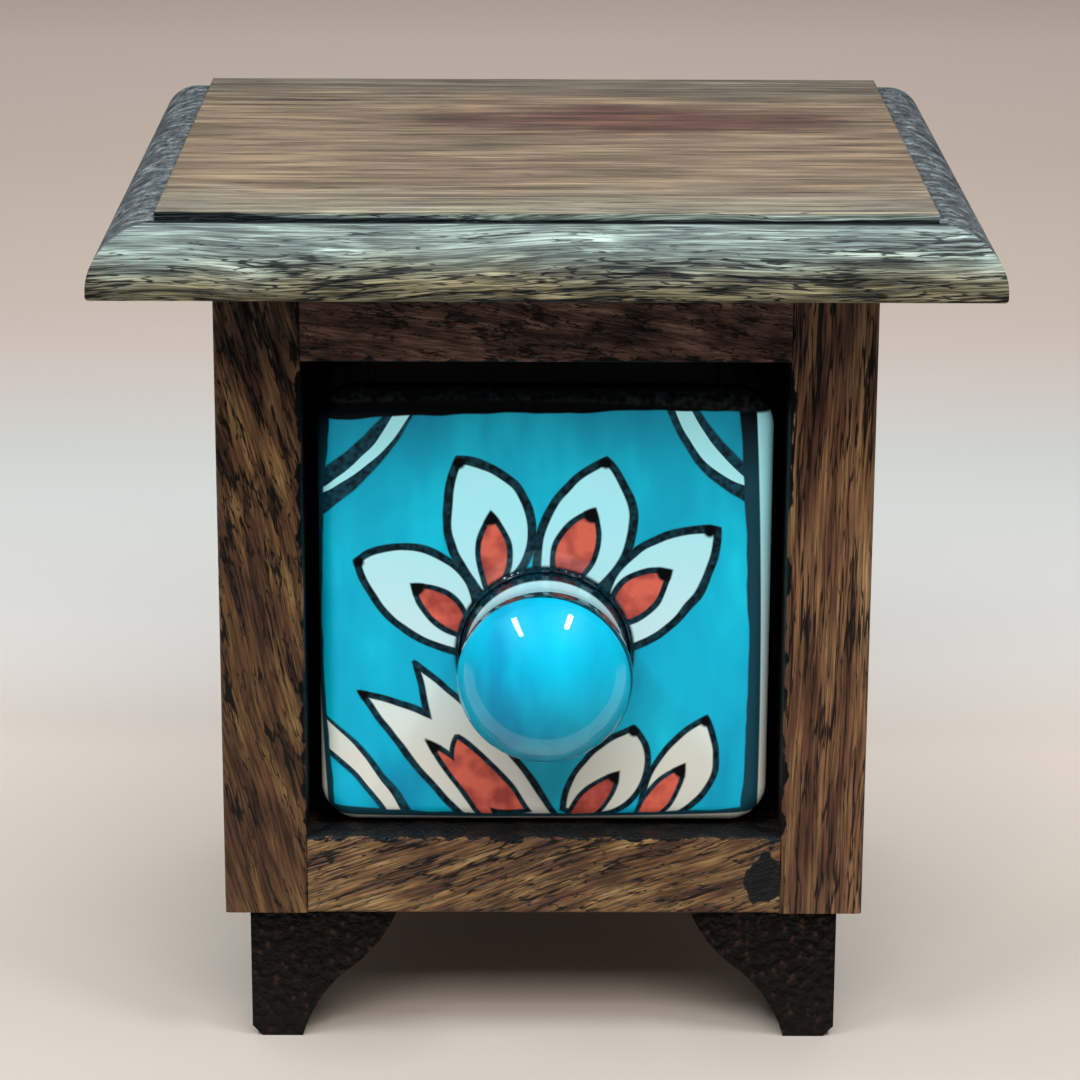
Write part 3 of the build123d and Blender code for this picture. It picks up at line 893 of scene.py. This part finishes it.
def case_board(node, look):
    """The wiped wood of one case board, with the bay's black stain and painted shade over it."""
    material, tree, shader = new_material("wiped_mango_wood_" + node)
    colour, height, dull = wiped_wood(tree, look)
    here = add(tree, "TexCoord").outputs["Object"]
    flat = add(tree, "VectorMath", "MULTIPLY", {0: here, 1: (1, 0, 1)})
    depth = add(tree, "SeparateXYZ", {}, {0: here}).outputs["Y"]
    # The bay is black inside, stain and painted shade of the deep recess, and the stain ran
    # unevenly out over the front edges.
    ragged = add(tree, "TexNoise", {}, {"Vector": here, "Scale": 260.0, "Detail": 3.0})
    run_out = bay_window(tree, flat, -stain_margin)
    run_out = add(tree, "Math", "MULTIPLY_ADD", {0: ragged, 1: -stain_spread, 2: run_out})
    behind = add(tree, "Math", "SUBTRACT", {0: case_front + 0.5 * mm, 1: depth})
    if "spot" in look:
        # Black filler at a knot, with the same uneven edge.
        spot_x, spot_z, spot_radius = (value * mm for value in look["spot"])
        away = add(tree, "VectorMath", "DISTANCE", {0: flat, 1: (spot_x, 0, spot_z)})
        spot = add(tree, "Math", "MULTIPLY_ADD", {0: ragged, 1: -stain_spread, 2: away})
        spot = add(tree, "Math", "SUBTRACT", {0: spot, 1: spot_radius})
        run_out = together(tree, "MINIMUM", [run_out, spot])
    lining_stain_and_shade = together(tree, "MAXIMUM", [bay_window(tree, flat, 0.15 * mm), behind])
    outside = add(tree, "Math", "SUBTRACT", {0: depth, 1: bay_low.y + 0.5 * mm})
    stain_and_bay_shade = together(tree, "MAXIMUM", [together(tree, "MINIMUM", [run_out, lining_stain_and_shade]), outside])
    # Painted shade: the bay's inside is black for its deep shade as well as its stain.
    colour = paint_over(tree, colour, linear("#040404"), covered(tree, stain_and_bay_shade, 0.15))
    finish_wood(tree, shader, colour, height, dull, 0.25)
    return material


def dress(node, material):
    """Gives a CAD piece a material in all its slots."""
    for material_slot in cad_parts[node].material_slots:
        material_slot.material = material


for node, look in case_looks.items():
    dress(node, case_board(node, look))
print("dressed:", sorted(case_looks))

# %% [markdown]
# The top board
#
# The top is one board with a raised field and a moulding round it. The field is sanded and waxed
# and shows fine level streaks, with a redder patch of heartwood and a cool grey towards the rear
# edge, which is painted sheen. Black wash stayed in the step in front of it, and the round of the
# moulding was rubbed pale, so its pores stand out black on grey-green, which is partly painted
# cool sheen. At the ends of the board the end grain shows, bluish and speckled. One material
# covers the whole board and tells these zones apart by their place.

# %% Looks of the top board
top_look = {
    "along": "X", "slant": 0.0, "wave": 0.8, "seed": 51.0,
    "figure": (26.0, 2.6), "streaks": (30.0, 1.2), "pores": (20.0, 0.9), "fibres": (26.0, 0.34),
    "colours": ("#625848", "#857a66", "#9c917b", "#c2b599"),
    "fibre_contrast": 0.62, "patchiness": 0.35, "shade_and_wash_above": 0.0, "spread": (100.0, 130.0),
    "streak_level": 0.60, "streak_cover": 0.4, "streak_colour": "#54432f",
    "pore_level": 0.45, "pore_cover": 0.65, "pore_colour": "#2b2019", "roughness": 0.42}
# The moulding's pale grey-green is partly a whitewash and partly painted cool sheen.
moulding_look = {
    "along": "X", "slant": 1.5, "wave": 2.2, "seed": 61.0,
    "figure": (16.0, 1.5), "streaks": (14.0, 1.0), "pores": (9.0, 0.75), "fibres": (14.0, 0.34),
    "colours": ("#3f4843", "#707d76", "#96a69c", "#cbe0d4"),
    "fibre_contrast": 0.72, "patchiness": 0.5, "shade_and_wash_above": -0.09, "spread": (127.0, 134.0),
    "streak_level": 0.60, "streak_cover": 0.85, "streak_colour": "#1f1a15",
    "pore_level": 0.39, "pore_cover": 0.95, "pore_colour": "#0a0f0d", "roughness": 0.36}
end_grain_look = {
    "along": "X", "slant": 0.0, "wave": 1.0, "seed": 71.0,
    "figure": (3.0, 2.2), "streaks": (1.6, 1.2), "pores": (1.5, 1.1), "fibres": (0.7, 0.5),
    "colours": ("#2e3336", "#54595c", "#757b7c", "#b2bcbe"),
    "fibre_contrast": 0.6, "patchiness": 0.3, "shade_and_wash_above": 0.0, "spread": (124.0, 134.0),
    "streak_level": 0.55, "streak_cover": 0.6, "streak_colour": "#2e2a26",
    "pore_level": 0.40, "pore_cover": 0.8, "pore_colour": "#15181b", "roughness": 0.40}
field_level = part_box("top_board")[1].z
field_half_width = 57.6 * mm
field_half_depth = 54.6 * mm


# %% Dress the top board
def tinted(tree, colour, tint, share):
    """The colour multiplied by a tint, as far as share says."""
    return add(tree, "Mix", {"data_type": "RGBA", "blend_type": "MULTIPLY"},
               {0: share, 6: colour, 7: linear(tint)})


patch_middle = (16.0 * mm, 17.0 * mm, field_level)
patch_reach = (34.0 * mm, 12.0 * mm, 1.0)


def top_board_wood():
    """The top's one material, which tells field, moulding, end grain and step by their place."""
    material, tree, shader = new_material("waxed_mango_wood_top")
    here = add(tree, "TexCoord").outputs["Object"]
    split = add(tree, "SeparateXYZ", {}, {0: here})
    x, y, z = (split.outputs[axis] for axis in "XYZ")
    drift = add(tree, "TexNoise", {}, {"Vector": here, "Scale": 45.0, "Detail": 3.0})

    # The field: a reddish patch of heartwood behind the middle, and a cool grey towards the rear
    # edge, which is painted sheen of light grazing off the back.
    field, field_height, field_dull = wiped_wood(tree, top_look)
    from_patch = add(tree, "VectorMath", "SUBTRACT", {0: here, 1: patch_middle})
    squeezed = add(tree, "VectorMath", "DIVIDE", {0: from_patch, 1: patch_reach})
    away = add(tree, "VectorMath", "LENGTH", {0: squeezed})
    ragged = add(tree, "Math", "MULTIPLY_ADD", {0: drift, 1: 1.6, 2: away})
    in_patch = add(tree, "MapRange", smooth, {"Value": ragged, "From Min": 2.2, "From Max": 1.1})
    field = tinted(tree, field, "#c09a98", in_patch)
    rearwards = add(tree, "Math", "MULTIPLY_ADD", {0: drift, 1: 0.03, 2: y})
    # The second tint, cool grey at the rear, is painted sheen.
    for tint, near, far in (("#f3ddcf", -40.0, -15.0), ("#d9e6f0", 46.0, 62.0)):
        field = tinted(tree, field, tint, add(tree, "MapRange", smooth, {
            "Value": rearwards, "From Min": near * mm, "From Max": far * mm}))

    # The moulding: pale mint that is partly painted cool sheen, browner towards its lower strip,
    # which the sheen leaves, and end grain beyond the mitres.
    moulding, moulding_height, moulding_dull = wiped_wood(tree, moulding_look)
    low_down = add(tree, "Math", "MULTIPLY_ADD", {0: drift, 1: 0.008, 2: z})
    moulding = tinted(tree, moulding, "#f2cda8", add(tree, "MapRange", smooth, {
        "Value": low_down, "From Min": 136.5 * mm, "From Max": 130.0 * mm}))
    ends, ends_height = wiped_wood(tree, end_grain_look)[:2]
    beyond = [add(tree, "Math", "SUBTRACT",
                  {0: add(tree, "Math", "ABSOLUTE", {0: value}), 1: reach})
              for value, reach in ((x, field_half_width), (y, field_half_depth))]
    past_mitre = add(tree, "Math", "SUBTRACT", {0: beyond[0], 1: beyond[1]})
    at_end = add(tree, "MapRange", smooth, {
        "Value": together(tree, "MINIMUM", [past_mitre, beyond[0]]),
        "From Min": 0.0, "From Max": 0.6 * mm})
    moulding = paint_over(tree, moulding, ends, at_end)
    moulding_height = add(tree, "Mix", {"data_type": "FLOAT"},
                          {0: at_end, 2: moulding_height, 3: ends_height})

    # The wash in the step, and the zones put together.
    above_ledge = add(tree, "Math", "MULTIPLY_ADD", {0: drift, 1: 1.6 * mm, 2: z})
    outward = together(tree, "MAXIMUM", beyond)
    in_front = add(tree, "MapRange", smooth, {
        "Value": y,
        "From Min": -field_half_depth + 0.5 * mm, "From Max": -field_half_depth + 0.1 * mm})
    # The wash fills the left end of the step, and is a thin uneven line from there on.
    near_step = add(tree, "MapRange", smooth, {
        "Value": outward, "From Min": 1.6 * mm, "From Max": 0.9 * mm})
    thinner = add(tree, "MapRange", {}, {
        "Value": x, "From Min": -46.0 * mm, "From Max": -38.0 * mm,
        "To Min": 0.0, "To Max": 1.0 * mm})
    above_ledge = add(tree, "Math", "ADD", {0: above_ledge, 1: thinner})
    below_arris = add(tree, "MapRange", smooth, {
        "Value": above_ledge,
        "From Min": field_level + 0.8 * mm, "From Max": field_level + 0.4 * mm})
    on_step = together(tree, "MULTIPLY", [near_step, below_arris, in_front])
    on_field = add(tree, "MapRange", smooth, {
        "Value": z, "From Min": field_level - 0.5 * mm, "From Max": field_level - 0.25 * mm})
    colour = paint_over(tree, moulding, field, on_field)
    colour = paint_over(tree, colour, linear("#0a1112"), on_step)
    height = add(tree, "Mix", {"data_type": "FLOAT"},
                 {0: on_field, 2: moulding_height, 3: field_height})
    dull = add(tree, "Mix", {"data_type": "FLOAT"}, {0: on_field, 2: moulding_dull, 3: field_dull})
    finish_wood(tree, shader, colour, height, dull, 0.2)
    return material


dress("top_board", top_board_wood())
print("dressed: top_board")

# %% [markdown]
# The feet
#
# The feet are sawn from the same wood and painted black, with brush drips and dust under the
# paint, so they shine in small lumps.

# %% Paint the feet
def black_paint():
    """Thick black paint with lumps, brown where the wood shows through on top of them."""
    material, tree, shader = new_material("brushed_black_paint_on_wood", {
        "Roughness": 0.4, "Specular IOR Level": 0.18})
    here = add(tree, "TexCoord").outputs["Object"]
    lumps = add(tree, "TexNoise", {}, {"Vector": here, "Scale": 700.0, "Detail": 3.0})
    colour = add(tree, "ValToRGB", {"stops": [
        (0.4, "#070606"), (0.60, "#100c0b"), (0.70, "#34201a")]}, {0: lumps})
    tree.links.new(colour.outputs[0], shader.inputs["Base Color"])
    relief = add(tree, "Bump", {}, {"Height": lumps, "Strength": 1.0, "Distance": 0.7 * mm})
    tree.links.new(relief.outputs[0], shader.inputs["Normal"])
    return material


feet_paint = black_paint()
for end in ("front", "rear"):
    for side in ("left", "right"):
        dress(end + "_" + side + "_foot", feet_paint)
print("painted: four feet")

# %% [markdown]
# Brads and screws
#
# The brads and screws are cut from drawn steel wire with a thin coat of zinc, so their heads are
# grey, a little cloudy and half dull. The clouds of the zinc are finer than the camera could
# show, and are drawn 0.4 mm across.

# %% Steel of the brads and screws
def drawn_steel():
    """Zinc-coated steel with a fine cloudy grain."""
    material, tree, shader = new_material("zinc_plated_drawn_steel", {
        "Metallic": 1.0, "Roughness": 0.35})
    here = add(tree, "TexCoord").outputs["Object"]
    grain = add(tree, "TexNoise", {}, {"Vector": here, "Scale": 2500.0, "Detail": 2.0})
    colour = add(tree, "ValToRGB", {"stops": [(0.35, "#8f9294"), (0.65, "#b4b7b8")]}, {0: grain})
    tree.links.new(colour.outputs[0], shader.inputs["Base Color"])
    return material


steel = drawn_steel()
for node in ("side_brads", "foot_brads", "panel_brads", "top_board_screws"):
    dress(node, steel)
print("dressed: brads and screws")

# %% [markdown]
# Floor and light
#
# The chest stands on a wide sheet of pale matt paper. The camera looks down on it, so the paper
# alone fills the frame, and nothing stands behind the chest to hide it from the other sides. The
# table in the photograph is warm and goes pale and cool behind the chest, and so is the paper:
# its tints are partly the table's colour and partly painted light, lighter far back and with a
# cool band of painted sheen behind the chest. Two strip lamps hang above, which show as the two
# small lights on the dome. A soft fill from the front stands for the bright room. It is hidden
# from reflections, because the glaze shows no third light.

# %% Lay the paper
paper_width = 6.0
deselect_all()
bpy.ops.mesh.primitive_plane_add(size=paper_width, location=(0, 0, 0))
floor = start_piece("paper_floor")
table_edge = -73.0 * mm
paper_tint_from = -0.1
paper_tint_to = 1.1
# Painted light: these tints brighten the paper far back and lay a cool band of sheen behind the
# chest.
paper_tints_and_light = [(0.04, "#b8aca1"), (0.09, "#c2b5a8"), (0.154, "#d8c9bb"), (0.23, "#cac4be"),
               (0.29, "#c9c6c0"), (0.33, "#c6c4bd"), (0.37, "#cdc1b8"), (0.46, "#d1beaf"),
               (0.64, "#e2cbbc"), (0.83, "#fbe4d4")]


def unmirrored(tree, colour, dark_share):
    """The colour as it is seen, but dark where a mirror-like ray meets it."""
    path = add(tree, "LightPath")
    share = add(tree, "Math", "MULTIPLY", {0: path.outputs["Is Glossy Ray"], 1: dark_share})
    return paint_over(tree, colour, linear("#0c0b0a"), share)


def paper():
    """Matt paper, which scatters light evenly and mirrors nothing."""
    material, tree, shader = new_material("matt_paper_sheet", {"Roughness": 0.8})
    here = add(tree, "TexCoord").outputs["Object"]
    split = add(tree, "SeparateXYZ", {}, {0: here})
    along = add(tree, "MapRange", {}, {
        "Value": split.outputs["Y"], "From Min": paper_tint_from, "From Max": paper_tint_to})
    tint = add(tree, "ValToRGB", {"stops": paper_tints_and_light}, {0: along})
    # The real table ends just in front of the chest and the room beyond it is dark. The paper
    # goes on, for the other views, and is only dark there for the glaze that mirrors it.
    ahead = add(tree, "MapRange", {}, {
        "Value": split.outputs["Y"], "From Min": table_edge, "From Max": table_edge - 2 * mm})
    colour = unmirrored(tree, tint, ahead)
    tree.links.new(colour.outputs[2], shader.inputs["Base Color"])
    return material


floor.data.materials.append(paper())
print("paper:", paper_width, "m wide")


# %% Hang the lamps
def hang_lamp(name, place, width, depth, watts, colour, aim=None, mirrored=True):
    """A rectangular lamp, which shines straight down unless it is aimed at something."""
    data = bpy.data.lights.new(name, "AREA")
    data.shape = "RECTANGLE"
    data.size = width
    data.size_y = depth
    data.energy = watts
    data.color = linear(colour)[:3]
    lamp = bpy.data.objects.new(name, data)
    bpy.context.scene.collection.objects.link(lamp)
    lamp.location = place
    lamp.visible_glossy = mirrored
    if aim is not None:
        lamp.rotation_euler = (Vector(aim) - Vector(place)).to_track_quat("-Z", "Y").to_euler()
    return lamp


chest_middle = (0, 0, 0.08)
hang_lamp("strip_left", (-0.38, -0.30, 0.69), 0.08, 0.45, 4.8, "#eaf6ff")
hang_lamp("strip_right", (0.30, -0.24, 0.69), 0.07, 0.26, 3.4, "#eaf6ff")
hang_lamp("overhead_soft", (0.0, 0.35, 0.85), 0.9, 0.7, 3.5, "#eef6ff", chest_middle)
hang_lamp("front_fill", (0.05, -0.76, 0.84), 0.9, 0.4, 9.2, "#fbfaf6", chest_middle, False)

world = bpy.data.worlds.new("pale_room")
bpy.context.scene.world = world
world.use_nodes = True
world_tree = world.node_tree
# The room gives a dim even light, but past the paper's edge the camera sees it pale.
room = unmirrored(world_tree, linear("#f3f1ee"), 0.9)
seen = add(world_tree, "LightPath").outputs["Is Camera Ray"]
strength = add(world_tree, "MapRange", {}, {"Value": seen, "To Min": 0.20, "To Max": 0.7})
world_tree.links.new(room.outputs[2], world_tree.nodes["Background"].inputs["Color"])
world_tree.links.new(strength.outputs[0], world_tree.nodes["Background"].inputs["Strength"])
